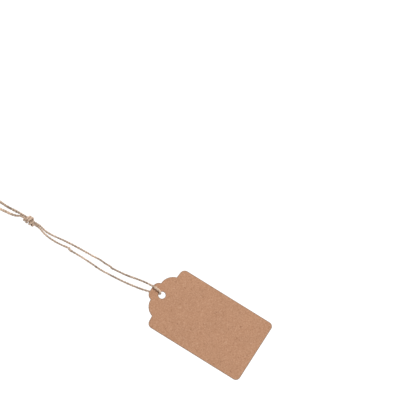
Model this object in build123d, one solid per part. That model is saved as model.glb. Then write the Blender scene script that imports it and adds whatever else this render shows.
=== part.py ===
from build123d import *

import math
import os

# Gift tag: a die-cut kraft card with a scalloped head, hung on one length of jute twine.
# The tag lies face up. +Y runs along the card to its head, +X across it and +Z up.
# The origin is on the floor, below the middle of the card. All sizes are in millimetres.

# Card blank
CARD_LENGTH = 90.0
CARD_WIDTH = 50.0
CARD_THICKNESS = 0.4
TAIL_CORNER_RADIUS = 3.5

# Scalloped head: drops are measured down from the tip, spacings across the centre line
SHOULDER_DROP = 11.9
SHOULDER_CORNER_RADIUS = 4.0
NOTCH_DROP = 11.2
NOTCH_SPACING = 34.0
SIDE_LOBE_RADIUS = 10.4
CUSP_DROP = 3.9
CUSP_SPACING = 14.4
TIP_LOBE_RADIUS = 4.8
CROWN_DROP = 0.2
CROWN_WIDTH = 7.2

# Punched hole
HOLE_DIAMETER = 5.2
HOLE_DROP = 9.2

# Twine, as a tube of flat sides that measures its diameter across the corners
TWINE_DIAMETER = 1.3
TWINE_SIDES = 10
TWINE_CLEARANCE = 0.12
ARC_RUN_SHARE = 0.45

# Twine routes, chosen by hand: both halves start in the hole, at the middle of the bight.
# The front half rises out of the hole, crosses the card and comes down to the floor past its tip.
FRONT_ROUTE = [
    (0.27, 37.45, 1.62),
    (1.2, 37.25, 3.4),
    (1.85, 40.9, 3.5),
    (2.0, 45.4, 2.82),
    (1.45, 50.6, 2.79),
    (0.75, 55.4, 2.83),
    (-0.2, 60.0, 2.55),
    (-1.1, 64.6, 2.0),
    (-1.75, 70.5, 1.32),
    (-2.1, 77.3, 0.84),
    (-1.95, 83.6, 0.7),
    (-1.45, 88.3, 0.78),
    (-2.0, 94.2, 0.7),
    (-2.25, 101.5, 0.69),
    (-2.6, 109.0, 0.74),
    (-3.35, 117.6, 0.8),
    (-4.35, 124.4, 1.15),
    (-5.1, 130.4, 1.75),
    (-4.85, 135.0, 2.3),
]
# The back half runs under the head, which rests on it, and on along the floor.
BACK_ROUTE = [
    (0.27, 37.45, 1.62),
    (-0.25, 37.6, 0.66),
    (-1.15, 41.2, 0.67),
    (-2.55, 45.8, 0.68),
    (-3.85, 50.4, 0.67),
    (-4.85, 55.6, 0.68),
    (-5.6, 60.2, 0.67),
    (-6.2, 64.4, 0.7),
    (-6.75, 70.0, 0.74),
    (-7.25, 76.5, 0.69),
    (-7.8, 84.0, 0.68),
    (-7.25, 92.5, 0.72),
    (-7.05, 100.5, 0.69),
    (-7.15, 107.0, 0.74),
    (-6.45, 112.4, 0.86),
    (-7.35, 118.6, 0.8),
    (-7.75, 125.4, 1.05),
    (-7.5, 130.6, 1.6),
    (-6.6, 135.0, 2.2),
]
# Loose ends past the knot: the front half leaves it below, the back half above.
LOWER_TAIL_ROUTE = [
    (-6.3, 157.0, 3.85),
    (-7.0, 159.2, 3.25),
    (-7.6, 162.0, 2.6),
    (-8.05, 166.8, 1.55),
    (-8.5, 171.8, 0.9),
    (-9.1, 176.4, 0.68),
]
UPPER_TAIL_ROUTE = [
    (-3.95, 158.2, 3.55),
    (-4.15, 163.0, 2.4),
    (-4.25, 168.0, 1.4),
    (-4.0, 172.8, 0.85),
    (-3.5, 177.4, 0.68),
]
# The runs of both halves, counted from the hole, in which the bend past the tip starts and ends
BEND_FIRST_RUN = 4
BEND_LAST_RUN = 6

# Knot: an overhand knot tied in both strands together, wound on the Y axis through its centre
KNOT_CENTRE = (-4.5, 147.5, 3.27)
KNOT_CLEARANCE = 0.11
KNOT_WRAP_TURNS = 1.5
KNOT_WRAP_PITCH = 4.3
KNOT_STRAND_LAG = 0.68
KNOT_HALF_LENGTH = 6.1
KNOT_LEAD_IN = 2.6
KNOT_LEAD_OUT = 1.3
KNOT_STEP_ANGLE = 45.0
# A strand's turn out of the core: share of the way out to the wrap, angle, rise in diameters
KNOT_TURN_SHARES = [(0.0, 0.0, -0.5), (0.4, 24.0, 0.3), (0.8, 54.0, 0.2)]
KNOT_TURN_STEP_SHARE = 0.7

# Sizes that follow from those above
TIP_Y = CARD_LENGTH / 2
TAIL_Y = -CARD_LENGTH / 2
HOLE_Y = TIP_Y - HOLE_DROP
TWINE_RADIUS = TWINE_DIAMETER / 2
HEAD_LIFT = TWINE_DIAMETER + TWINE_CLEARANCE
HEAD_LIFT_REACH = HOLE_Y + HOLE_DIAMETER / 2 - TAIL_Y
CARD_TILT = math.degrees(math.atan2(HEAD_LIFT, HEAD_LIFT_REACH))
STRAND_SPACING = TWINE_DIAMETER + KNOT_CLEARANCE
KNOT_CORE_RADIUS = STRAND_SPACING / math.sqrt(2)
KNOT_WRAP_RADIUS = KNOT_CORE_RADIUS + STRAND_SPACING
KNOT_WRAP_HEIGHT = KNOT_WRAP_TURNS * KNOT_WRAP_PITCH


def card_outline():
    """Half outline of the card, from the middle of its tail edge round to its tip."""
    half_width = CARD_WIDTH / 2
    notch = (NOTCH_SPACING / 2, TIP_Y - NOTCH_DROP)
    cusp = (CUSP_SPACING / 2, TIP_Y - CUSP_DROP)
    crown = (CROWN_WIDTH / 2, TIP_Y - CROWN_DROP)
    edges = FilletPolyline(
        (0, TAIL_Y),
        (half_width, TAIL_Y),
        (half_width, TIP_Y - SHOULDER_DROP),
        notch,
        radius=[TAIL_CORNER_RADIUS, SHOULDER_CORNER_RADIUS],
    )
    side_lobe = RadiusArc(notch, cusp, -SIDE_LOBE_RADIUS)
    tip_lobe = RadiusArc(cusp, crown, -TIP_LOBE_RADIUS)
    tip = ThreePointArc(crown, (0, TIP_Y), (-crown[0], crown[1]))
    half = [edges, side_lobe, tip_lobe]
    other_half = [mirror(line, about=Plane.YZ) for line in half]
    return Curve() + half + [tip] + other_half


def tag_card():
    """The punched card, tilted about its tail edge because its head lies on the twine."""
    blank = extrude(make_face(card_outline()), amount=CARD_THICKNESS)
    punch = Pos(0, HOLE_Y, 0) * Cylinder(HOLE_DIAMETER / 2, CARD_LENGTH)
    tail_edge = Axis((0, TAIL_Y, 0), (1, 0, 0))
    return (blank - punch).rotate(tail_edge, CARD_TILT)


def between(a, b):
    """Middle of the run from one route point to the next."""
    return tuple((p + q) / 2 for p, q in zip(a, b))


def corner_radii(route):
    """Radius of the largest smooth arc at each inner point of a route."""
    points = [Vector(p) for p in route]
    radii = []
    for before, here, after in zip(points, points[1:], points[2:]):
        run_in = here - before
        run_out = after - here
        half_turn = math.radians(run_in.get_angle(run_out)) / 2
        radii.append(ARC_RUN_SHARE * min(run_in.length, run_out.length) / math.tan(half_turn))
    return radii


def stretch(route, first_run, last_run=None):
    """Points and radii of a route from the middle of one run to that of another, or to its end."""
    radii = corner_radii(route)
    start = between(route[first_run], route[first_run + 1])
    if last_run is None:
        return [start] + route[first_run + 1 :], radii[first_run:]
    end = between(route[last_run], route[last_run + 1])
    return [start] + route[first_run + 1 : last_run + 1] + [end], radii[first_run:last_run]


def twine(name, points, radii):
    """Twine laid along straight runs and tangent arcs, with its volume compared with its length."""
    path = FilletPolyline(*points, radius=radii)
    section = Plane(origin=path @ 0, z_dir=path % 0) * RegularPolygon(TWINE_RADIUS, TWINE_SIDES)
    tube = sweep(section, path=path)
    volume_share = tube.volume / (section.area * path.length)
    print(
        f"{name}: length {path.length:.1f}, least radius {min(radii):.2f}, "
        f"median radius {sorted(radii)[len(radii) // 2]:.1f}, volume share {volume_share:.4f}"
    )
    return tube, path.length


def knot_point(radius, angle, height):
    """A point about the knot's axis, from a radius, an angle in degrees and a height along +Y."""
    x, y, z = KNOT_CENTRE
    turn = math.radians(angle)
    return (x + radius * math.cos(turn), y + height, z + radius * math.sin(turn))


def knot_route(strand):
    """Route of one strand: up the core, out at the top, down the wrap, in below and up the core."""
    start = -45.0 - 90.0 * strand
    wrap_angle = 360.0 * KNOT_WRAP_TURNS
    top = KNOT_WRAP_HEIGHT / 2 - KNOT_STRAND_LAG / 2 + KNOT_STRAND_LAG * strand
    bottom = top - KNOT_WRAP_HEIGHT
    half_step = math.radians(KNOT_STEP_ANGLE / 2)
    corner_radius = KNOT_WRAP_RADIUS / math.cos(half_step) ** 1.5
    turns = [
        (KNOT_CORE_RADIUS + share * (corner_radius - KNOT_CORE_RADIUS), angle, rise * TWINE_DIAMETER)
        for share, angle, rise in KNOT_TURN_SHARES
    ]
    wrap_start = turns[-1][1] + KNOT_TURN_STEP_SHARE * KNOT_STEP_ANGLE
    wrap_sweep = wrap_angle - 2 * wrap_start
    steps = round(wrap_sweep / KNOT_STEP_ANGLE)
    route = [knot_point(KNOT_CORE_RADIUS, start, -KNOT_HALF_LENGTH)]
    for radius, angle, rise in turns:
        route.append(knot_point(radius, start - angle, top + rise))
    for step in range(steps + 1):
        angle = wrap_start + wrap_sweep * step / steps
        height = top - KNOT_WRAP_HEIGHT * angle / wrap_angle
        route.append(knot_point(corner_radius, start - angle, height))
    for radius, angle, rise in reversed(turns):
        route.append(knot_point(radius, start - wrap_angle + angle, bottom - rise))
    route.append(knot_point(KNOT_CORE_RADIUS, start - wrap_angle, KNOT_HALF_LENGTH))
    return route


def least_gap(lines):
    """Least gap between the strands of the knot, and of each to itself, measured on points."""
    spacing = TWINE_RADIUS / 4
    tracks = []
    for line in lines:
        count = math.ceil(line.length / spacing)
        tracks.append([line @ (i / count) for i in range(count + 1)])
    own_reach = math.ceil(math.pi * TWINE_DIAMETER / 2 / spacing)
    gaps = []
    for i, p in enumerate(tracks[0]):
        gaps += [(p - q).length for q in tracks[1]]
        gaps += [(p - q).length for q in tracks[0][i + own_reach :]]
    return min(gaps) - TWINE_DIAMETER


def lead(point, distance):
    """A point further along the knot's axis than a given one."""
    return (point[0], point[1] + distance, point[2])


knots = [knot_route(strand) for strand in range(2)]
strand_routes = []
for route, knot in zip((FRONT_ROUTE, BACK_ROUTE), knots):
    strand_routes.append(route + [lead(knot[0], -KNOT_LEAD_IN), knot[0]])
tail_routes = []
for route, knot in zip((LOWER_TAIL_ROUTE, UPPER_TAIL_ROUTE), knots):
    tail_routes.append([knot[-1], lead(knot[-1], KNOT_LEAD_OUT)] + route)
bight_route = FRONT_ROUTE[BEND_FIRST_RUN + 1 : 0 : -1] + BACK_ROUTE[1 : BEND_FIRST_RUN + 2]

twine_stretches = {
    "twine_bight": stretch(bight_route, 0, len(bight_route) - 2),
    "twine_front_bend": stretch(strand_routes[0], BEND_FIRST_RUN, BEND_LAST_RUN),
    "twine_back_bend": stretch(strand_routes[1], BEND_FIRST_RUN, BEND_LAST_RUN),
    "twine_front_strand": stretch(strand_routes[0], BEND_LAST_RUN),
    "twine_back_strand": stretch(strand_routes[1], BEND_LAST_RUN),
    "twine_lower_tail": (tail_routes[0], corner_radii(tail_routes[0])),
    "twine_upper_tail": (tail_routes[1], corner_radii(tail_routes[1])),
}

pieces = {"tag_card": tag_card()}
twine_length = 0
for name, (points, radii) in twine_stretches.items():
    pieces[name], length = twine(name, points, radii)
    twine_length += length
knot_solids = []
for number, route in enumerate(knots):
    solid, length = twine(f"knot strand {number}", route, corner_radii(route))
    knot_solids.append(solid)
    twine_length += length
pieces["twine_knot"] = Compound(knot_solids)
knot_lines = [FilletPolyline(*route, radius=corner_radii(route)) for route in knots]
print(f"least gap in the knot {least_gap(knot_lines):.2f}, twine length {twine_length:.1f}")

os.makedirs("parts", exist_ok=True)
for name, piece in pieces.items():
    export_step(piece, f"parts/{name}.step")
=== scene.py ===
"""Gift tag: a kraft card with a scalloped head, hung on a knotted loop of two-ply jute twine."""

import logging
import math
from dataclasses import dataclass
from enum import Enum

import bpy
import numpy as np
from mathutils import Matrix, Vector


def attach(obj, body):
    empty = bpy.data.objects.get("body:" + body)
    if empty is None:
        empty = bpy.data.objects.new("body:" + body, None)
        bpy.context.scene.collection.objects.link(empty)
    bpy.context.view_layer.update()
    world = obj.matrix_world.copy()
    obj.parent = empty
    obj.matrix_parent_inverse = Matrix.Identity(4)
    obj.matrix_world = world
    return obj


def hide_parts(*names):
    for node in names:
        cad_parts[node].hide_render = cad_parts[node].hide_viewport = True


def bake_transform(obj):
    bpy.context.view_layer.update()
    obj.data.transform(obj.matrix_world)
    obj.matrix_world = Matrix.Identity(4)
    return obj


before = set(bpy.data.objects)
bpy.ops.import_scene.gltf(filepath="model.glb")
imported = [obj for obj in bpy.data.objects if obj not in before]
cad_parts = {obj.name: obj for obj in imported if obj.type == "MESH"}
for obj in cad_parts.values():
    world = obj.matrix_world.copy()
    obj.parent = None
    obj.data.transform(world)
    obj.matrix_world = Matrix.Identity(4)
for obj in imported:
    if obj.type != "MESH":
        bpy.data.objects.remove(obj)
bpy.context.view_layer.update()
log = logging.getLogger("gift_tag")

Place = tuple[float, float, float]
Colour = tuple[float, float, float]
Range = tuple[float, float]
# A place along the twine, a half length and a height
Spot = tuple[float, float, float]
# A height, a wave length and a phase
Wave = tuple[float, float, float]
# A share of the way out of a knot's core, an angle and a rise in strands
Turn = tuple[float, float, float]
Socket = bpy.types.NodeSocket
# What a node's input takes: another node's output, or a plain value
Feed = Socket | float | tuple[float, ...]

TINY = 1e-12
WHITE = (1.0, 1.0, 1.0, 1.0)
PALE_KRAFT: Colour = (0.640, 0.396, 0.266)
DARK_KRAFT: Colour = (0.290, 0.130, 0.062)
KRAFT_FLECK: Colour = (0.200, 0.080, 0.036)
BRIGHT_JUTE: Colour = (0.735, 0.55, 0.415)
MIDDLE_JUTE: Colour = (0.435, 0.316, 0.231)
DARK_JUTE: Colour = (0.205, 0.133, 0.086)


def deselect_all() -> None:
    """Leaves nothing selected, so that an operator acts only on what is selected next."""
    bpy.ops.object.select_all(action="DESELECT")


def unit(vectors: np.ndarray) -> np.ndarray:
    """Scales vectors, which are along the last axis, to a length of one."""
    return vectors / np.maximum(np.linalg.norm(vectors, axis=-1, keepdims=True), TINY)


def carry(mesh: bpy.types.Mesh, name: str, values: np.ndarray) -> None:
    """Gives each vertex of a mesh a value, or a vector where they come in rows, for a finish to read."""
    kind, key = ("FLOAT_VECTOR", "vector") if values.ndim == 2 else ("FLOAT", "value")
    mesh.attributes.new(name, kind, "POINT").data.foreach_set(key, values.astype(np.float32).ravel())


@dataclass(frozen=True)
class Mark:
    """A shade that shows where a value is in a span: none of it at the start, its full share at the end."""

    span: Range
    share: float
    shade: Colour


class NodeBoard:
    """The shader nodes of one material, added and joined by short calls."""

    # Numbers of the Mix node's sockets for colours
    MIX_SHARE, MIX_FIRST, MIX_SECOND, MIX_RESULT = 0, 6, 7, 2
    # Middle of a noise's colours
    NOISE_MIDDLE = (0.5, 0.5, 0.5)

    def __init__(self, name: str) -> None:
        """Makes an empty material.

        Args:
            name: Name of the material.
        """
        self.material = bpy.data.materials.new(name)
        self.material.use_nodes = True
        self.tree = self.material.node_tree
        self.shader = self.tree.nodes["Principled BSDF"]

    def add(self, kind: str, inputs: dict[str | int, Feed], **settings: object) -> bpy.types.Node:
        """Adds a node.

        Args:
            kind: Type name of the node.
            inputs: Values or sockets for its inputs, by name or number.
            settings: Values of the node's own options.

        Returns:
            The new node.
        """
        node = self.tree.nodes.new(kind)
        for option, value in settings.items():
            setattr(node, option, value)
        self.feed(node, inputs)
        return node

    def feed(self, node: bpy.types.Node, inputs: dict[str | int, Feed]) -> None:
        """Sets a node's inputs, or joins other nodes' outputs to them.

        Args:
            node: Node that takes the values.
            inputs: Plain values or output sockets, by name or number of the input.
        """
        for socket, value in inputs.items():
            if isinstance(value, Socket):
                self.tree.links.new(value, node.inputs[socket])
            else:
                node.inputs[socket].default_value = value

    def surface(self, inputs: dict[str, Feed]) -> None:
        """Sets or joins the shader's own inputs, by name."""
        self.feed(self.shader, inputs)

    def place(self) -> Socket:
        """Place on the object, in metres."""
        return self.add("ShaderNodeTexCoord", {}).outputs["Object"]

    def attribute(self, name: str, output: str = "Fac") -> Socket:
        """A value that the mesh carries, by its name."""
        return self.add("ShaderNodeAttribute", {}, attribute_name=name).outputs[output]

    def sum_up(self, operation: str, *values: Feed) -> Socket:
        """An operation on numbers, by its name."""
        return self.add("ShaderNodeMath", dict(enumerate(values)), operation=operation).outputs[0]

    def sum_up_vectors(self, operation: str, *values: Feed) -> Socket:
        """An operation on vectors, by its name."""
        return self.add("ShaderNodeVectorMath", dict(enumerate(values)), operation=operation).outputs[0]

    def times(self, value: Feed, share: float) -> Socket:
        """A share of a value."""
        return self.sum_up("MULTIPLY", value, share)

    def stretched(self, vector: Feed, scale: Place, turn: float = 0.0) -> Socket:
        """Turns coordinates about Z and then stretches them.

        Args:
            vector: Coordinates.
            scale: Stretch along each axis.
            turn: Turn about Z in degrees.

        Returns:
            The new coordinates.
        """
        inputs = {"Vector": vector, "Angle": math.radians(turn)}
        turned = self.add("ShaderNodeVectorRotate", inputs, rotation_type="Z_AXIS").outputs[0]
        return self.sum_up_vectors("MULTIPLY", turned, scale)

    def drifted(self, vector: Feed, scale: float, reach: float) -> Socket:
        """Coordinates that wander, so that a pattern on them has no straight rows.

        Args:
            vector: Coordinates.
            scale: Bends in a unit of the coordinates.
            reach: How far the coordinates wander.

        Returns:
            The new coordinates.
        """
        inputs = {"Vector": vector, "Scale": scale, "Detail": 1.0}
        cloud = self.add("ShaderNodeTexNoise", inputs).outputs["Color"]
        centred = self.sum_up_vectors("SUBTRACT", cloud, self.NOISE_MIDDLE)
        return self.sum_up_vectors("MULTIPLY_ADD", centred, (reach, reach, reach), vector)

    def noise(
        self, vector: Feed, scale: float = 1.0, detail: float = 2.0, roughness: float = 0.55
    ) -> Socket:
        """Cloudy noise from 0 to 1, with its scale, finer layers and their strength."""
        inputs = {"Vector": vector, "Scale": scale, "Detail": detail, "Roughness": roughness}
        return self.add("ShaderNodeTexNoise", inputs).outputs["Fac"]

    def step(self, value: Feed, span: Range) -> Socket:
        """A smooth step from 0 at a span's start to 1 at its end, which may be the lesser of the two."""
        inputs = {"Value": value, "From Min": span[0], "From Max": span[1]}
        return self.add("ShaderNodeMapRange", inputs, interpolation_type="SMOOTHSTEP").outputs["Result"]

    def tinted(self, colour: Feed, mask: Feed, share: float, shade: Colour) -> Socket:
        """Lays a shade on a colour.

        Args:
            colour: The colour.
            mask: Where the shade shows, from 0 to 1.
            share: Share of the shade where the mask is 1.
            shade: The shade.

        Returns:
            The new colour.
        """
        inputs = {
            self.MIX_SHARE: self.times(mask, share),
            self.MIX_FIRST: colour,
            self.MIX_SECOND: (*shade, 1.0),
        }
        return self.add("ShaderNodeMix", inputs, data_type="RGBA").outputs[self.MIX_RESULT]

    def marked(self, colour: Feed, value: Feed, mark: Mark) -> Socket:
        """Lays a mark on a colour, by a value."""
        return self.tinted(colour, self.step(value, mark.span), mark.share, mark.shade)

    def bump(self, height: Feed, strength: float, depth: float) -> None:
        """Gives the shader a relief by its height, the share of it that shows and its depth in metres."""
        relief = self.add("ShaderNodeBump", {"Height": height, "Strength": strength, "Distance": depth})
        self.surface({"Normal": relief.outputs[0]})


@dataclass(frozen=True)
class FibreLay:
    """One set of short fibres in the board.

    Attributes:
        turn: Turn about Z in degrees.
        length: Fibres in a metre along them.
        fineness: Fibres in a metre across them.
        share: Share of their colour that they show.
        shade: Their colour.
    """

    turn: float
    length: float
    fineness: float
    share: float
    shade: Colour


@dataclass(frozen=True)
class FleckKind:
    """One kind of fleck in the board, with one fleck at most in each cell of a scatter.

    Attributes:
        draw: The cell's draw, from 0 to 1, at which it has no fleck, and at which it has a full one.
        size: Distance from the cell's middle at which the fleck ends, and at which it is full.
        share: Share of its colour that it shows.
        shade: Its colour.
    """

    draw: Range
    size: Range
    share: float
    shade: Colour


@dataclass(frozen=True)
class KraftFinish:
    """Unbleached kraft board: mottled brown with short fibres, flecks and a pressed, darker rim.

    A scale counts patches in a metre.
    """

    base: Colour = (0.480, 0.258, 0.151)
    cloud_scale: float = 60.0
    cloud: Mark = Mark((0.35, 0.68), 1.0, (0.458, 0.246, 0.144))
    drift_scale: float = 210.0
    drift_reach: float = 0.0030
    mottle_scale: float = 1050.0
    mottle_height: float = 0.6
    mottles: tuple[Mark, ...] = (
        Mark((0.49, 0.74), 0.45, PALE_KRAFT),
        Mark((0.51, 0.28), 0.40, DARK_KRAFT),
    )
    fibre_span: Range = (0.61, 0.71)
    fibre_height: float = 0.25
    lays: tuple[FibreLay, ...] = (
        FibreLay(14.0, 460.0, 4300.0, 0.34, PALE_KRAFT),
        FibreLay(53.0, 350.0, 3700.0, 0.30, DARK_KRAFT),
        FibreLay(88.0, 520.0, 5000.0, 0.30, PALE_KRAFT),
        FibreLay(121.0, 400.0, 4400.0, 0.26, DARK_KRAFT),
        FibreLay(159.0, 330.0, 3900.0, 0.28, PALE_KRAFT),
    )
    fleck_scale: Place = (760.0, 430.0, 600.0)
    fleck_turn: float = 37.0
    flecks: tuple[FleckKind, ...] = (
        FleckKind((0.60, 0.68), (0.30, 0.14), 0.30, KRAFT_FLECK),
        FleckKind((0.78, 0.84), (0.46, 0.16), 0.30, KRAFT_FLECK),
        FleckKind((0.17, 0.11), (0.42, 0.16), 0.26, (0.760, 0.520, 0.380)),
    )
    grain_scale: float = 3600.0
    grain_height: float = 0.5
    grain: Mark = Mark((0.3, 0.7), 0.10, DARK_KRAFT)
    rim: Mark = Mark((0.05, 1.0), 0.9, (0.240, 0.172, 0.128))
    relief: float = 0.55
    relief_depth: float = 0.00004
    roughness: Range = (0.81, 0.92)
    specular: float = 0.28

    def material(self) -> bpy.types.Material:
        """Builds the finish.

        Returns:
            The material, which reads the card's own attribute for its rim.
        """
        board = NodeBoard("kraft_board")
        place = board.place()
        drifted = board.drifted(place, self.drift_scale, self.drift_reach)
        mottle = board.noise(drifted, self.mottle_scale)
        grain = board.noise(place, self.grain_scale, roughness=0.6)
        colour = board.marked((*self.base, 1.0), board.noise(place, self.cloud_scale), self.cloud)
        for mark in self.mottles:
            colour = board.marked(colour, mottle, mark)
        height = board.times(mottle, self.mottle_height)
        for lay in self.lays:
            lain = board.stretched(drifted, (lay.length, lay.fineness, lay.length), lay.turn)
            fibre = board.step(board.noise(lain, roughness=0.5), self.fibre_span)
            colour = board.tinted(colour, fibre, lay.share, lay.shade)
            height = board.sum_up("ADD", height, board.times(fibre, self.fibre_height))
        cells = {"Vector": board.stretched(drifted, self.fleck_scale, self.fleck_turn), "Scale": 1.0}
        scatter = board.add("ShaderNodeTexVoronoi", cells).outputs
        for kind in self.flecks:
            chosen = board.step(scatter["Color"], kind.draw)
            fleck = board.sum_up("MULTIPLY", board.step(scatter["Distance"], kind.size), chosen)
            colour = board.tinted(colour, fleck, kind.share, kind.shade)
        colour = board.marked(colour, grain, self.grain)
        colour = board.marked(colour, board.attribute("rim"), self.rim)
        height = board.sum_up("ADD", height, board.times(grain, self.grain_height))
        board.bump(height, self.relief, self.relief_depth)
        worn = {"Value": mottle, "To Min": self.roughness[0], "To Max": self.roughness[1]}
        rough = board.add("ShaderNodeMapRange", worn).outputs["Result"]
        board.surface({"Base Color": colour, "Roughness": rough, "Specular IOR Level": self.specular})
        return board.material


@dataclass(frozen=True)
class JuteFinish:
    """Jute yarn: pale and brown fibres along the lay, painted shade between the plies, and a soft sheen.

    A grain counts streaks in a metre, both ways across the yarn and along it.
    """

    fine_grain: Place = (11000.0, 11000.0, 420.0)
    coarse_grain: Place = (4200.0, 4200.0, 260.0)
    slow_grain: Place = (300.0, 300.0, 150.0)
    pale: Mark = Mark((0.34, 0.66), 1.0, (0.635, 0.475, 0.355))
    dull: Mark = Mark((0.40, 0.68), 0.45, MIDDLE_JUTE)
    dark: Mark = Mark((0.46, 0.30), 0.75, DARK_JUTE)
    # The bright mark is partly the yarn's own paler stretches and partly painted light, where a lie's tones
    # paint it.
    bright: Mark = Mark((0.0, 1.0), 0.85, BRIGHT_JUTE)
    stained: Mark = Mark((0.0, -1.0), 0.80, (0.265, 0.195, 0.150))
    # Painted shade: darkens each ply on its side that faces the other ply, where the plies close up.
    painted_groove_shade: Mark = Mark((0.25, 0.85), 0.65, (0.155, 0.096, 0.060))
    fine_height: float = 0.5
    relief: float = 0.7
    relief_depth: float = 0.00007
    roughness: float = 0.88
    specular: float = 0.25
    sheen: float = 0.12
    sheen_roughness: float = 0.5
    fibre_bright: Mark = Mark((0.0, 1.0), 1.0, BRIGHT_JUTE)
    fibre_dark: Mark = Mark((0.22, 0.0), 0.8, DARK_JUTE)
    fibre_roughness: float = 0.7
    fibre_specular: float = 0.3

    def material(self) -> bpy.types.Material:
        """Builds the finish of the plies.

        Returns:
            The material, which reads the yarn's own attributes.
        """
        board = NodeBoard("jute_yarn")
        lay = board.attribute("lay", "Vector")
        fine = board.noise(board.stretched(lay, self.fine_grain), detail=3.0, roughness=0.6)
        coarse = board.noise(board.stretched(lay, self.coarse_grain), roughness=0.5)
        slow = board.noise(board.stretched(lay, self.slow_grain), detail=1.0, roughness=0.5)
        tone = board.attribute("tone")
        colour = (*MIDDLE_JUTE, 1.0)
        for value, mark in (
            (fine, self.pale),
            (slow, self.dull),
            (coarse, self.dark),
            (tone, self.bright),
            (tone, self.stained),
            (board.attribute("painted_groove_shade"), self.painted_groove_shade),
        ):
            colour = board.marked(colour, value, mark)
        height = board.sum_up("ADD", board.times(fine, self.fine_height), coarse)
        board.bump(height, self.relief, self.relief_depth)
        board.surface({
            "Base Color": colour,
            "Roughness": self.roughness,
            "Specular IOR Level": self.specular,
            "Sheen Weight": self.sheen,
            "Sheen Roughness": self.sheen_roughness,
        })
        return board.material

    def fibre_material(self) -> bpy.types.Material:
        """Builds the finish of single loose fibres.

        Returns:
            The material, which reads each fibre's own tint.
        """
        board = NodeBoard("jute_fibre")
        colour = (*MIDDLE_JUTE, 1.0)
        for mark in (self.fibre_bright, self.fibre_dark):
            colour = board.marked(colour, board.attribute("tint"), mark)
        board.surface({
            "Base Color": colour,
            "Roughness": self.fibre_roughness,
            "Specular IOR Level": self.fibre_specular,
        })
        return board.material


@dataclass(frozen=True)
class FloorFinish:
    """A white, evenly lit studio floor."""

    shade: Colour = (0.30, 0.30, 0.30)
    glow: float = 0.86
    roughness: float = 0.9

    def material(self) -> bpy.types.Material:
        """Builds the finish.

        Returns:
            The material.
        """
        board = NodeBoard("studio_floor")
        board.surface({
            "Base Color": (*self.shade, 1.0),
            "Roughness": self.roughness,
            "Specular IOR Level": 0.0,
            "Emission Color": WHITE,
            "Emission Strength": self.glow,
        })
        return board.material


@dataclass
class Studio:
    """Floor, light and camera, as the tag was photographed: from nearly above, lit softly from one side."""

    floor_size: float = 40.0
    floor_drop: float = 0.25
    sky_low: float = 0.74
    sky_high: float = 0.37
    key_aim: Place = (0.0, 0.05, 0.0)
    key_toward: Range = (0.976, -0.218)
    key_elevation: float = 63.0
    key_distance: float = 1.4
    key_size: float = 0.42
    key_power: float = 13.4
    aim: Place = (0.0756, 0.05055, 0.0)
    azimuth: float = -57.8
    elevation: float = 76.8
    camera_distance: float = 4.0
    camera_clip: Range = (0.01, 50.0)
    view_width: float = 0.2937
    sensor: float = 36.0

    def lay_floor(self) -> None:
        """Adds the floor, low enough for the twine to hang down from the tag."""
        deselect_all()
        bpy.ops.mesh.primitive_plane_add(size=self.floor_size, location=(0.0, 0.0, -self.floor_drop))
        floor = bpy.context.object
        floor.name = "studio_floor"
        floor.data.materials.append(FloorFinish().material())

    @staticmethod
    def hang(item: bpy.types.ID, aim: Place, toward: Vector, distance: float) -> bpy.types.Object:
        """Hangs a lamp or a camera in the studio.

        Args:
            item: The lamp or the camera.
            aim: Point that it looks at.
            toward: Direction from there to it, of length one.
            distance: Distance between them.

        Returns:
            Its object.
        """
        held = bpy.data.objects.new(item.name, item)
        held.location = Vector(aim) + toward * distance
        held.rotation_euler = (-toward).to_track_quat("-Z", "Y").to_euler()
        bpy.context.scene.collection.objects.link(held)
        return held

    def light(self) -> None:
        """Adds the key light and the soft sky round it."""
        lamp = bpy.data.lights.new("key_light", "AREA")
        lamp.shape = "SQUARE"
        lamp.size = self.key_size
        lamp.energy = self.key_power
        above = math.radians(self.key_elevation)
        level = Vector((*self.key_toward, 0.0)) * math.cos(above)
        toward = (level + Vector((0.0, 0.0, math.sin(above)))).normalized()
        self.hang(lamp, self.key_aim, toward, self.key_distance)

        world = bpy.data.worlds.new("soft_sky")
        world.use_nodes = True
        bpy.context.scene.world = world
        nodes, links = world.node_tree.nodes, world.node_tree.links
        direction = nodes.new("ShaderNodeTexCoord")
        split = nodes.new("ShaderNodeSeparateXYZ")
        fade = nodes.new("ShaderNodeMapRange")
        fade.inputs["To Min"].default_value = self.sky_low
        fade.inputs["To Max"].default_value = self.sky_high
        links.new(direction.outputs["Generated"], split.inputs[0])
        links.new(split.outputs["Z"], fade.inputs["Value"])
        links.new(fade.outputs["Result"], nodes["Background"].inputs["Strength"])
        nodes["Background"].inputs["Color"].default_value = WHITE

    def set_camera(self) -> None:
        """Adds the camera at the photograph's view, and plain colours for its picture."""
        lens = bpy.data.cameras.new("camera")
        lens.sensor_width = self.sensor
        lens.lens = self.sensor * self.camera_distance / self.view_width
        lens.clip_start, lens.clip_end = self.camera_clip
        around, above = math.radians(self.azimuth), math.radians(self.elevation)
        level = Vector((math.sin(around), -math.cos(around), 0.0)) * math.cos(above)
        toward = level + Vector((0.0, 0.0, math.sin(above)))
        bpy.context.scene.camera = self.hang(lens, self.aim, toward, self.camera_distance)
        bpy.context.scene.view_settings.view_transform = "Standard"

    def build(self) -> None:
        """Sets up the whole studio."""
        self.lay_floor()
        self.light()
        self.set_camera()


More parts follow.
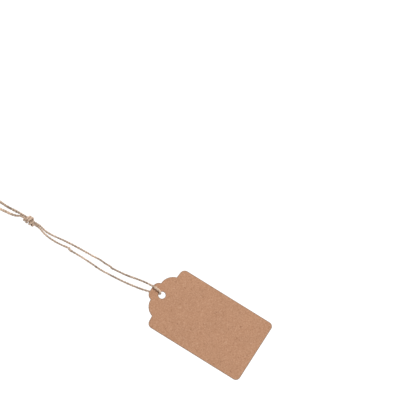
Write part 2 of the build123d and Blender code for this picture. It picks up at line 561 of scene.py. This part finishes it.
@dataclass
class OutlinePen:
    """One vertex in edit mode that draws an outline: extruded along straight edges, spun round arcs."""

    place: Vector
    arc_step: float

    def line_to(self, end: Vector) -> None:
        """Draws a straight edge to a point."""
        bpy.ops.mesh.extrude_region_move(TRANSFORM_OT_translate={"value": end - self.place})
        self.place = end

    def arc_to(self, end: Vector, radius: float) -> None:
        """Draws an arc that bulges to the right of the way it goes.

        Args:
            end: End of the arc.
            radius: Radius of the arc.
        """
        chord = end - self.place
        half = chord.length / 2
        inward = Vector((-chord.y, chord.x, 0.0)).normalized()
        centre = (self.place + end) / 2 + inward * math.sqrt(radius**2 - half**2)
        sweep = 2 * math.asin(half / radius)
        steps = math.ceil(math.degrees(sweep) / self.arc_step)
        bpy.ops.mesh.spin(steps=steps, angle=-sweep, center=centre, axis=(0.0, 0.0, 1.0))
        self.place = end


@dataclass
class KraftCard:
    """The die-cut card: straight sides, scalloped head and punched hole, its head resting on the twine."""

    length: float = 0.090
    width: float = 0.050
    thickness: float = 0.0004
    tail_corner: float = 0.0035
    shoulder_drop: float = 0.0119
    shoulder_corner: float = 0.004
    notch_drop: float = 0.0112
    notch_spacing: float = 0.034
    side_lobe: float = 0.0104
    cusp_drop: float = 0.0039
    cusp_spacing: float = 0.0144
    tip_lobe: float = 0.0048
    crown_drop: float = 0.0002
    crown_width: float = 0.0072
    hole: float = 0.0052
    hole_drop: float = 0.0092
    hole_sides: int = 72
    head_lift: float = 0.00142
    arc_step: float = 5.0
    weld: float = 1e-6
    flat_normal: float = 0.9
    pressed_band: float = 0.00075
    cut_angle: float = 80.0
    edge_round: float = 0.00008
    edge_steps: int = 2
    smooth_angle: float = 35.0

    @property
    def tilt(self) -> float:
        """Tilt of the card in radians, with the twine under the far rim of its hole."""
        return math.atan2(self.head_lift, self.length / 2 + self.hole_along + self.hole / 2)

    @property
    def hole_along(self) -> float:
        """Place of the hole's centre along the card."""
        return self.length / 2 - self.hole_drop

    def underside(self, along: np.ndarray) -> np.ndarray:
        """Height of the card's lower face at places along it."""
        return (along + self.length / 2) * math.tan(self.tilt)

    def upper_side(self, along: np.ndarray) -> np.ndarray:
        """Height of the card's upper face at places along it."""
        return self.underside(along) + self.thickness / math.cos(self.tilt)

    def draw_half(self) -> None:
        """Draws the right half of the outline from the middle of the tail to the tip, in edit mode."""
        side, tail, tip = self.width / 2, -self.length / 2, self.length / 2
        shoulder = Vector((side, tip - self.shoulder_drop, 0.0))
        notch = Vector((self.notch_spacing / 2, tip - self.notch_drop, 0.0))
        cusp = Vector((self.cusp_spacing / 2, tip - self.cusp_drop, 0.0))
        crown = Vector((self.crown_width / 2, tip - self.crown_drop, 0.0))
        top = Vector((0.0, tip, 0.0))
        into_notch = (notch - shoulder).normalized()
        trim = self.shoulder_corner * math.tan(into_notch.angle(Vector((0.0, 1.0, 0.0))) / 2)
        crown_radius = (crown.x**2 + self.crown_drop**2) / (2 * self.crown_drop)

        pen = OutlinePen(Vector((0.0, tail, 0.0)), self.arc_step)
        pen.line_to(Vector((side - self.tail_corner, tail, 0.0)))
        pen.arc_to(Vector((side, tail + self.tail_corner, 0.0)), self.tail_corner)
        pen.line_to(shoulder - Vector((0.0, trim, 0.0)))
        pen.arc_to(shoulder + into_notch * trim, self.shoulder_corner)
        pen.line_to(notch)
        pen.arc_to(cusp, self.side_lobe)
        pen.arc_to(crown, self.tip_lobe)
        pen.arc_to(top, crown_radius)

    def cut_blank(self) -> bpy.types.Object:
        """Cuts the flat card with its hole, and gives it its thickness.

        Returns:
            The card, still in edit mode.
        """
        deselect_all()
        bpy.ops.mesh.primitive_plane_add(size=self.width, location=(0.0, 0.0, 0.0))
        card = bpy.context.object
        card.name = card.data.name = "kraft_card"
        bpy.ops.object.mode_set(mode="EDIT")
        bpy.ops.mesh.select_mode(type="VERT")
        bpy.ops.mesh.select_all(action="SELECT")
        bpy.ops.mesh.merge(type="CENTER")
        bpy.ops.transform.translate(value=(0.0, -self.length / 2, 0.0))
        self.draw_half()
        bpy.ops.mesh.select_all(action="SELECT")
        bpy.ops.mesh.duplicate()
        bpy.ops.transform.resize(value=(-1.0, 1.0, 1.0), center_override=(0.0, 0.0, 0.0))
        bpy.ops.mesh.primitive_circle_add(
            vertices=self.hole_sides, radius=self.hole / 2, location=(0.0, self.hole_along, 0.0)
        )
        bpy.ops.mesh.select_all(action="SELECT")
        bpy.ops.mesh.remove_doubles(threshold=self.weld)
        bpy.ops.mesh.fill(use_beauty=True)
        bpy.ops.mesh.select_all(action="SELECT")
        bpy.ops.mesh.extrude_region_move(TRANSFORM_OT_translate={"value": (0.0, 0.0, self.thickness)})
        bpy.ops.mesh.select_all(action="SELECT")
        bpy.ops.mesh.normals_make_consistent(inside=False)
        return card

    def press_edges(self, card: bpy.types.Object) -> None:
        """Sets off the band that the die presses along every cut edge, and rounds the edges.

        Args:
            card: The card, in edit mode.
        """
        bpy.ops.mesh.select_mode(type="FACE")
        bpy.ops.mesh.select_all(action="DESELECT")
        bpy.ops.object.mode_set(mode="OBJECT")
        for face in card.data.polygons:
            face.select = abs(face.normal.z) > self.flat_normal
        bpy.ops.object.mode_set(mode="EDIT")
        bpy.ops.mesh.inset(thickness=self.pressed_band, depth=0.0, use_even_offset=True)
        card.vertex_groups.new(name="open_face")
        bpy.ops.object.vertex_group_assign()
        bpy.ops.mesh.select_mode(type="EDGE")
        bpy.ops.mesh.select_all(action="DESELECT")
        bpy.ops.mesh.edges_select_sharp(sharpness=math.radians(self.cut_angle))
        bpy.ops.mesh.bevel(
            offset=self.edge_round, segments=self.edge_steps, profile=0.5, affect="EDGES", clamp_overlap=True
        )

    def lay_down(self, card: bpy.types.Object) -> None:
        """Tilts the card onto the twine under its head, and smooths it.

        Args:
            card: The card, in edit mode.
        """
        bpy.ops.mesh.select_all(action="SELECT")
        bpy.ops.transform.rotate(
            value=-self.tilt,
            orient_axis="X",
            orient_type="GLOBAL",
            center_override=(0.0, -self.length / 2, 0.0),
        )
        bpy.ops.object.mode_set(mode="OBJECT")
        bpy.ops.object.shade_smooth_by_angle(angle=math.radians(self.smooth_angle))
        unpressed = [sum(group.weight for group in vertex.groups) for vertex in card.data.vertices]
        carry(card.data, "rim", 1.0 - np.array(unpressed))

    def build(self) -> bpy.types.Object:
        """Makes the card, dresses it and puts it on its body.

        Returns:
            The finished card.
        """
        card = self.cut_blank()
        self.press_edges(card)
        self.lay_down(card)
        card.data.materials.append(KraftFinish().material())
        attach(card, "card")
        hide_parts("tag_card")
        return card


@dataclass
class OverhandKnot:
    """An overhand knot tied in both strands together, wound on the Y axis through its centre."""

    centre: Place = (-0.0045, 0.1475, 0.00327)
    strand: float = 0.0013
    clearance: float = 0.00011
    wrap_turns: float = 1.5
    wrap_pitch: float = 0.0043
    strand_lag: float = 0.00068
    half_length: float = 0.0061
    lead_in: float = 0.0026
    lead_out: float = 0.0013
    first_angle: float = -45.0
    strand_angle: float = -90.0
    step_angle: float = 45.0
    corner_power: float = 1.5
    turn_step_share: float = 0.7
    turns_out: tuple[Turn, ...] = ((0.0, 0.0, -0.5), (0.4, 24.0, 0.3), (0.8, 54.0, 0.2))

    def point(self, radius: float, angle: float, height: float) -> Place:
        """A point about the knot's axis.

        Args:
            radius: Distance from the axis.
            angle: Angle about the axis in degrees.
            height: Height along +Y from the centre.

        Returns:
            The point.
        """
        x, y, z = self.centre
        turn = math.radians(angle)
        return (x + radius * math.cos(turn), y + height, z + radius * math.sin(turn))

    def route(self, number: int) -> list[Place]:
        """Route of one strand, with a straight lead at either end.

        Args:
            number: 0 for the front half of the twine, 1 for the back half.

        Returns:
            Points up the core, out at the top, down the wrap, in below and up the core again.
        """
        spacing = self.strand + self.clearance
        core = spacing / math.sqrt(2)
        start = self.first_angle + self.strand_angle * number
        wrap_angle = 360.0 * self.wrap_turns
        wrap_height = self.wrap_turns * self.wrap_pitch
        top = wrap_height / 2 - self.strand_lag / 2 + self.strand_lag * number
        bottom = top - wrap_height
        corner = (core + spacing) / math.cos(math.radians(self.step_angle / 2)) ** self.corner_power
        turns = [
            (core + share * (corner - core), angle, rise * self.strand)
            for share, angle, rise in self.turns_out
        ]
        wrap_start = turns[-1][1] + self.turn_step_share * self.step_angle
        wrap_sweep = wrap_angle - 2 * wrap_start
        steps = round(wrap_sweep / self.step_angle)
        route = [
            self.point(core, start, -self.half_length - self.lead_in),
            self.point(core, start, -self.half_length),
        ]
        route += [self.point(radius, start - angle, top + rise) for radius, angle, rise in turns]
        for step in range(steps + 1):
            angle = wrap_start + wrap_sweep * step / steps
            route.append(self.point(corner, start - angle, top - wrap_height * angle / wrap_angle))
        end = start - wrap_angle
        route += [self.point(radius, end + angle, bottom - rise) for radius, angle, rise in reversed(turns)]
        route.append(self.point(core, end, self.half_length))
        route.append(self.point(core, end, self.half_length + self.lead_out))
        return route


class Centreline:
    """Points down the middle of the twine, read from a NURBS spline, with a frame that doesn't twist."""

    def __init__(self, name: str, route: list[Place], across: Place, steps: int) -> None:
        """Lays the spline and reads it.

        Args:
            name: Name of the spline while it is there.
            route: Its control points.
            across: Direction square to its start, from which its frame is carried along.
            steps: Points in each stretch of the spline.
        """
        curve = bpy.data.curves.new(name, "CURVE")
        curve.dimensions = "3D"
        curve.resolution_u = steps
        spline = curve.splines.new("NURBS")
        spline.points.add(len(route) - 1)
        for point, place in zip(spline.points, route):
            point.co = (*place, 1.0)
        spline.order_u = 3
        spline.use_endpoint_u = True
        holder = bpy.data.objects.new(name, curve)
        mesh = bpy.data.meshes.new_from_object(holder)
        self.points = np.array([vertex.co for vertex in mesh.vertices], float)
        bpy.data.meshes.remove(mesh)
        bpy.data.objects.remove(holder)
        bpy.data.curves.remove(curve)
        runs = np.linalg.norm(np.diff(self.points, axis=0), axis=1)
        self.along = np.concatenate([[0.0], np.cumsum(runs)])
        self.forward = unit(np.gradient(self.points, self.along, axis=0))
        carried = [np.array(across, float)]
        for direction in self.forward:
            square = carried[-1] - direction * (carried[-1] @ direction)
            carried.append(square / np.linalg.norm(square))
        self.across = np.array(carried[1:])
        self.up = np.cross(self.forward, self.across)

    @property
    def length(self) -> float:
        """Length of the line."""
        return float(self.along[-1])


class Half(Enum):
    """The two halves of the twine, by the sign of distances from the hole."""

    FRONT = 1
    BACK = -1


@dataclass(frozen=True)
class HalfLie:
    """How one half of the twine lies, and what it stands for.

    Attributes:
        half: Which half.
        strand: Route from the hole to the knot.
        tail: Route from the knot to its cut end.
        nodes: Names of the solids that it stands for.
        seed: Seed of its loose fibres.
        slubs: Thick places: distance along it, half length, share thicker.
        partings: Places where the two plies part: distance along it, half length, share wider.
        tones: Paler and darker places: distance along it, half length, share of pale, below zero for dark.
            Some pale places are painted light.
    """

    half: Half
    strand: tuple[Place, ...]
    tail: tuple[Place, ...]
    nodes: tuple[str, ...]
    seed: int
    slubs: tuple[Spot, ...]
    partings: tuple[Spot, ...]
    tones: tuple[Spot, ...]

    @property
    def name(self) -> str:
        """Name of the half in lower case."""
        return self.half.name.lower()


FRONT_LIE = HalfLie(
    half=Half.FRONT,
    strand=(
        (0.00027, 0.03745, 0.00162), (0.0012, 0.03725, 0.0034), (0.00185, 0.0409, 0.0035),
        (0.0020, 0.0454, 0.00282), (0.00145, 0.0506, 0.00279), (0.00075, 0.0554, 0.00283),
        (-0.0002, 0.0600, 0.00255), (-0.0011, 0.0646, 0.0020), (-0.00175, 0.0705, 0.00132),
        (-0.00225, 0.0765, 0.00086), (-0.00235, 0.0780, 0.00084), (-0.00178, 0.0790, 0.00080),
        (-0.00180, 0.0806, 0.00074), (-0.00195, 0.0836, 0.0007), (-0.00145, 0.0883, 0.00078),
        (-0.0020, 0.0942, 0.0007), (-0.00225, 0.1015, 0.00069), (-0.0026, 0.1090, 0.00074),
        (-0.00335, 0.1176, 0.0008), (-0.00435, 0.1244, 0.00115), (-0.0051, 0.1304, 0.00175),
        (-0.00485, 0.1350, 0.0023),
    ),
    tail=(
        (-0.0065, 0.1569, 0.00385), (-0.0073, 0.1592, 0.00325), (-0.0077, 0.1620, 0.0026),
        (-0.00805, 0.1668, 0.00155), (-0.0085, 0.1718, 0.0009), (-0.0091, 0.1764, 0.00068),
    ),
    nodes=("twine_bight", "twine_front_bend", "twine_front_strand", "twine_knot", "twine_lower_tail"),
    seed=11,
    slubs=(
        (0.0070, 0.0048, 0.46), (0.0138, 0.0040, -0.16), (0.025, 0.008, 0.10),
        (0.0425, 0.0020, 0.12), (0.072, 0.006, 0.06), (0.163, 0.012, 0.60),
    ),
    partings=((0.0065, 0.0040, 0.50), (0.0425, 0.002, 0.20), (0.162, 0.007, 0.30)),
    # The pale place by the hole is painted light on the lit top of the strand on the card, and the pale
    # place over the knot is painted light that lifts its shade; the others are the yarn's own paler and
    # darker stretches.
    tones=(
        (0.0050, 0.0050, 1.25), (0.0125, 0.0040, -0.60), (0.034, 0.008, -0.4),
        (0.048, 0.006, -0.3), (0.062, 0.007, 0.65), (0.100, 0.006, 0.45),
        (0.126, 0.016, 0.90), (0.165, 0.009, 0.75),
    ),
)

BACK_LIE = HalfLie(
    half=Half.BACK,
    strand=(
        (0.00027, 0.03745, 0.00162), (-0.00025, 0.0375, 0.00063), (-0.00115, 0.0412, 0.00066),
        (-0.00255, 0.0458, 0.00068), (-0.00385, 0.0504, 0.00067), (-0.00485, 0.0556, 0.00068),
        (-0.0056, 0.0602, 0.00067), (-0.0062, 0.0644, 0.0007), (-0.00675, 0.0700, 0.00074),
        (-0.00725, 0.0765, 0.00069), (-0.0078, 0.0840, 0.00068), (-0.00725, 0.0925, 0.00072),
        (-0.00705, 0.1005, 0.00069), (-0.00715, 0.1070, 0.00074), (-0.00725, 0.1102, 0.00080),
        (-0.00720, 0.1114, 0.00086), (-0.00635, 0.1122, 0.00088), (-0.00650, 0.1138, 0.00084),
        (-0.00735, 0.1186, 0.0008), (-0.00775, 0.1254, 0.00105), (-0.0075, 0.1306, 0.0016),
        (-0.0066, 0.1350, 0.0022),
    ),
    tail=(
        (-0.00395, 0.1582, 0.00355), (-0.00415, 0.1630, 0.0024), (-0.00425, 0.1680, 0.0014),
        (-0.0040, 0.1728, 0.00085), (-0.0035, 0.1774, 0.00068),
    ),
    nodes=("twine_bight", "twine_back_bend", "twine_back_strand", "twine_knot", "twine_upper_tail"),
    seed=23,
    slubs=(
        (0.005, 0.004, -0.14), (0.020, 0.010, 0.14), (0.0752, 0.0020, 0.24),
        (0.154, 0.006, 0.32), (0.166, 0.008, 0.54),
    ),
    partings=((0.0040, 0.0035, -0.30), (0.0755, 0.0050, 0.45), (0.1555, 0.0034, 0.75)),
    # The pale place over the knot is painted light that lifts its shade; the others are the yarn's own paler
    # and darker stretches.
    tones=(
        (0.0110, 0.0045, -0.40), (0.035, 0.005, -0.4), (0.047, 0.004, 0.35),
        (0.054, 0.004, -0.5), (0.063, 0.006, 0.70), (0.100, 0.006, 0.45),
        (0.126, 0.016, 0.90), (0.160, 0.010, -0.4),
    ),
)


def tube_mesh(name: str, corners: np.ndarray) -> bpy.types.Mesh:
    """Makes tubes that are closed at both ends.

    Args:
        name: Name of the mesh.
        corners: Their corners, as tubes by rings by sides by coordinates.

    Returns:
        The mesh of all the tubes.
    """
    tubes, rings, sides = corners.shape[:3]
    here = np.arange(rings * sides).reshape(rings, sides)
    beside = np.roll(here, -1, axis=1)
    walls = np.stack([here[:-1], beside[:-1], beside[1:], here[1:]], axis=2).reshape(-1, 4)
    tube = [*walls.tolist(), here[0, ::-1].tolist(), here[-1].tolist()]
    firsts = range(0, tubes * rings * sides, rings * sides)
    faces = [[first + corner for corner in face] for first in firsts for face in tube]
    mesh = bpy.data.meshes.new(name)
    mesh.from_pydata(corners.reshape(-1, 3).tolist(), [], faces)
    return mesh


@dataclass(frozen=True)
class FibreKind:
    """One kind of loose fibre on the twine.

    Attributes:
        count: How many one half has.
        lengths: Shortest and longest.
        tilts: Least and greatest lean away from the twine, in degrees.
        depth: Where it is rooted, as a share of the twine's radius.
        onward: Share of them that points away from the hole.
        girth: Thickness as a share of the usual.
        frayed: Whether it grows on the frayed end alone.
    """

    count: int
    lengths: Range
    tilts: Range
    depth: float
    onward: float = 0.62
    girth: float = 1.0
    frayed: bool = False


@dataclass(frozen=True)
class PlyCourse:
    """How the plies run along one half: angle about its centreline, distance from it and radius."""

    twist: np.ndarray
    offset: np.ndarray
    radius: np.ndarray


@dataclass
class JuteTwine:
    """One length of two-ply jute twine, laid as its two halves from the hole, with loose fibres."""

    card: KraftCard
    knot: OverhandKnot
    diameter: float = 0.0013
    plies: int = 2
    ply_radius: float = 0.000462
    ply_offset: float = 0.000245
    ply_breadth: float = 1.06
    ply_sides: int = 14
    lay_length: float = 0.0043
    lay_wander: float = 0.0007
    lay_wander_length: float = 0.021
    lay_shift: float = 0.4
    yarn_turn: float = -1.4
    ridges: int = 5
    ridge_share: float = 0.07
    lobes: int = 3
    lobe_share: float = 0.045
    ply_shade_reach: float = 1.6
    girth_waves: tuple[Wave, ...] = ((0.035, 0.0131, 0.4), (0.030, 0.0073, 2.1), (0.022, 0.0041, 4.4))
    tone_waves: tuple[Wave, ...] = ((0.30, 0.0112, 0.9), (0.26, 0.0067, 3.4), (0.20, 0.0174, 5.0))
    tone_drop: float = 0.10
    knot_swell: float = 0.14
    knot_fade: float = 0.002
    fray_length: float = 0.0042
    fray_spread: float = 0.9
    fray_thinning: float = 0.35
    spline_steps: int = 24
    fibres: tuple[FibreKind, ...] = (
        FibreKind(2600, (0.0007, 0.0026), (14.0, 62.0), 0.8),
        FibreKind(26, (0.003, 0.007), (8.0, 30.0), 0.9),
        FibreKind(46, (0.0022, 0.0046), (2.0, 24.0), 0.45, onward=1.0, girth=1.35, frayed=True),
    )
    fibre_radius: float = 0.000019
    fibre_spread: Range = (0.75, 1.35)
    fibre_tip: float = 0.45
    fibre_points: int = 5
    fibre_sides: int = 3
    fibre_gap: float = 0.000057
    short_bias: float = 1.6
    curl: float = 0.42
    lie_back: float = 0.35
    steep: float = 0.8
    bare_start: float = 0.005
    swing_reach: float = 0.0185
    bend_start: Place = (0.0, 0.053, 0.0017)
    bend_end: Place = (0.0, 0.0623, 0.0017)

    def route(self, lie: HalfLie) -> list[Place]:
        """Control points of one half, from the hole through the knot to its cut end."""
        return [*lie.strand, *self.knot.route(0 if lie.half is Half.FRONT else 1), *lie.tail]

    @staticmethod
    def ripple(signed: np.ndarray, waves: tuple[Wave, ...]) -> np.ndarray:
        """The sum of waves at distances from the hole, below zero on the back half."""
        turns = 2 * math.pi * signed
        return sum(height * np.sin(turns / length + phase) for height, length, phase in waves)

    @staticmethod
    def swell(along: np.ndarray, spots: tuple[Spot, ...]) -> np.ndarray:
        """The sum of soft bumps at distances along one half."""
        bumps = (height * np.exp(-(((along - place) / reach) ** 2)) for place, reach, height in spots)
        return sum(bumps, np.zeros_like(along))

    def course(self, lie: HalfLie, line: Centreline) -> PlyCourse:
        """Works out how the plies run.

        Args:
            lie: How the half lies.
            line: Its centreline.

        Returns:
            The course of its plies.
        """
        along = line.along
        near_end = np.clip((along - line.length + self.fray_length) / self.fray_length, 0.0, 1.0)
        wander = self.lay_wander * np.sin(2 * math.pi * along / self.lay_wander_length)
        past_knot = np.abs(line.points[:, 1] - self.knot.centre[1]) - self.knot.half_length
        in_knot = np.clip(1.0 - past_knot / self.knot_fade, 0.0, 1.0)
        girth = 1.0 + self.ripple(along * lie.half.value, self.girth_waves)
        girth = girth + self.swell(along, lie.slubs) + self.knot_swell * in_knot
        parting = 1.0 + self.swell(along, lie.partings) + self.fray_spread * near_end**2
        return PlyCourse(
            twist=2 * math.pi * (along + wander) / self.lay_length,
            offset=self.ply_offset * parting,
            radius=self.ply_radius * girth * (1.0 - self.fray_thinning * near_end**2),
        )

    def ply_mesh(self, lie: HalfLie, line: Centreline) -> bpy.types.Mesh:
        """Twists the plies of one half.

        Args:
            lie: How the half lies.
            line: Its centreline.

        Returns:
            The mesh of its plies, with the attributes that the yarn's finish reads.
        """
        sign, sides = lie.half.value, self.ply_sides
        signed = line.along * sign
        course = self.course(lie, line)
        around = 2 * math.pi * np.arange(sides) / sides
        yarn = around - self.yarn_turn * course.twist[:, None]
        lumps = self.ridge_share * np.cos(self.ridges * yarn) + self.lobe_share * np.cos(self.lobes * yarn)
        radius = course.radius[:, None] * (1.0 + lumps)
        corners, lays = [], []
        for ply in range(self.plies):
            turn = (course.twist + 2 * math.pi * ply / self.plies)[:, None]
            out = np.cos(turn) * line.across + np.sin(turn) * line.up
            beside = np.cross(line.forward, out)
            ring = (line.points + out * course.offset[:, None])[:, None, :]
            ring = ring + (radius * np.cos(around))[:, :, None] * out[:, None, :]
            ring = ring + (radius * np.sin(around) * self.ply_breadth)[:, :, None] * beside[:, None, :]
            ring[:, :, 2] = np.maximum(ring[:, :, 2], 0.0)
            corners.append(ring)
            lengthwise = np.repeat(signed[:, None] + self.lay_shift * ply, sides, axis=1)
            lay = (self.ply_radius * np.cos(yarn), self.ply_radius * np.sin(yarn) * sign, lengthwise)
            lays.append(np.stack(lay, axis=2))
        # Tone: the yarn's own paler and darker stretches, plus painted light where a lie's tones say so.
        tone = self.ripple(signed, self.tone_waves) - self.tone_drop + self.swell(line.along, lie.tones)
        # Painted shade between the plies: each ply's side that faces the other is darkened, the more the
        # closer they lie.
        close = np.clip(self.ply_shade_reach - course.offset / self.ply_offset, 0.0, 1.0)
        inward = (1.0 - np.cos(around)) / 2
        mesh = tube_mesh(f"{lie.name}_twine", np.stack(corners))
        carry(mesh, "lay", np.stack(lays).reshape(-1, 3))
        carry(mesh, "tone", np.tile(np.repeat(tone, sides), self.plies))
        carry(mesh, "painted_groove_shade", np.tile(np.outer(close, inward).ravel(), self.plies))
        mesh.polygons.foreach_set("use_smooth", np.ones(len(mesh.polygons), bool))
        mesh.update()
        return mesh

    def keep_clear(self, lie: HalfLie, paths: np.ndarray) -> np.ndarray:
        """Keeps fibres out of the floor and, however the twine swings round the hole, out of the card.

        Args:
            lie: How their half lies.
            paths: Points of the fibres.

        Returns:
            The points, lifted or lowered where they have to be.
        """
        x, y, z = np.moveaxis(paths, 2, 0)
        low, high = np.full(z.shape, self.fibre_gap), np.full(z.shape, np.inf)
        beside_card = np.hypot(x, y - self.card.hole_along) < self.swing_reach
        if lie.half is Half.FRONT:
            low = np.where(beside_card, self.card.upper_side(y) + self.fibre_gap, low)
        else:
            high = np.where(beside_card, self.card.underside(y) - self.fibre_gap, high)
        return np.stack([x, y, np.clip(z, low, high)], axis=2)

    def fibre_corners(self, paths: np.ndarray, radius: np.ndarray) -> np.ndarray:
        """Corners of thin tubes round fibres.

        Args:
            paths: Points of the fibres, as fibres by points by coordinates.
            radius: Radius of each.

        Returns:
            The corners, as fibres by points by sides by coordinates.
        """
        along = unit(paths[:, -1] - paths[:, 0])
        helper = np.where(np.abs(along[:, 2:3]) < self.steep, [[0.0, 0.0, 1.0]], [[1.0, 0.0, 0.0]])
        one = unit(np.cross(along, helper))
        two = np.cross(along, one)
        reach = (radius[:, None] * np.linspace(1.0, self.fibre_tip, self.fibre_points))[:, :, None]
        angles = 2 * math.pi * np.arange(self.fibre_sides) / self.fibre_sides
        outs = [one * math.cos(angle) + two * math.sin(angle) for angle in angles]
        return np.stack([paths + out[:, None, :] * reach for out in outs], axis=2)

    def fibre_mesh(self, lie: HalfLie, line: Centreline) -> bpy.types.Mesh:
        """Makes the loose fibres of one half: short fuzz, a few long strays and the frayed cut end.

        Args:
            lie: How the half lies.
            line: Its centreline.

        Returns:
            The mesh of all its fibres.
        """
        rng = np.random.default_rng(lie.seed)
        ways = np.linspace(0.0, 1.0, self.fibre_points)[None, :, None]
        runs = np.gradient(line.along)
        last = len(runs) - 1
        corners, tints = [], []
        for kind in self.fibres:
            start = line.length - self.fray_length if kind.frayed else self.bare_start
            first = int(np.searchsorted(line.along, start))
            shares = runs[first:last]
            index = first + rng.choice(last - first, kind.count, p=shares / shares.sum())
            angle = rng.uniform(0.0, 2 * math.pi, kind.count)[:, None]
            out = np.cos(angle) * line.across[index] + np.sin(angle) * line.up[index]
            beside = np.cross(line.forward[index], out)
            way = np.where(rng.random(kind.count) < kind.onward, 1.0, -1.0)[:, None]
            tilt = np.radians(rng.uniform(*kind.tilts, kind.count))[:, None]
            heading = line.forward[index] * way * np.cos(tilt) + out * np.sin(tilt)
            shortest, longest = kind.lengths
            length = rng.uniform(0.0, 1.0, kind.count) ** self.short_bias * (longest - shortest) + shortest
            curl = beside * rng.normal(0.0, self.curl, kind.count)[:, None]
            curl = curl - out * rng.uniform(0.0, self.lie_back, kind.count)[:, None]
            root = line.points[index] + out * self.diameter / 2 * kind.depth
            bow = heading[:, None, :] * ways + curl[:, None, :] * ways**2
            paths = root[:, None, :] + length[:, None, None] * bow
            thin = self.fibre_radius * rng.uniform(*self.fibre_spread, kind.count) * kind.girth
            corners.append(self.fibre_corners(self.keep_clear(lie, paths), thin))
            tints.append(rng.random(kind.count))
        mesh = tube_mesh(f"{lie.name}_twine_fibres", np.concatenate(corners))
        carry(mesh, "tint", np.repeat(np.concatenate(tints), self.fibre_points * self.fibre_sides))
        mesh.update()
        return mesh

    def build(self, lie: HalfLie) -> list[bpy.types.Object]:
        """Makes one half of the twine with its fibres, dresses it and hides the solids that it stands for.

        Args:
            lie: How the half lies.

        Returns:
            The twine and its fibres.
        """
        finish = JuteFinish()
        route = self.route(lie)
        line = Centreline(f"{lie.name}_line", route, (0.0, 1.0, 0.0), self.spline_steps)
        twine = bpy.data.objects.new(f"{lie.name}_twine", self.ply_mesh(lie, line))
        fibres = bpy.data.objects.new(f"{lie.name}_twine_fibres", self.fibre_mesh(lie, line))
        twine.data.materials.append(finish.material())
        fibres.data.materials.append(finish.fibre_material())
        for piece in (twine, fibres):
            bpy.context.scene.collection.objects.link(piece)
            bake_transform(piece)
        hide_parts(*lie.nodes)
        return [twine, fibres]


def main() -> None:
    """Builds the studio and the tag in order, reports each piece, and notes its size."""
    logging.basicConfig(level=logging.INFO, format="%(message)s")
    Studio().build()
    card = KraftCard()
    pieces = [card.build()]
    twine = JuteTwine(card=card, knot=OverhandKnot())
    for lie in (FRONT_LIE, BACK_LIE):
        pieces += twine.build(lie)
    for piece in pieces:
        log.info("%s: %d faces", piece.name, len(piece.data.polygons))


if __name__ == "__main__":
    main()
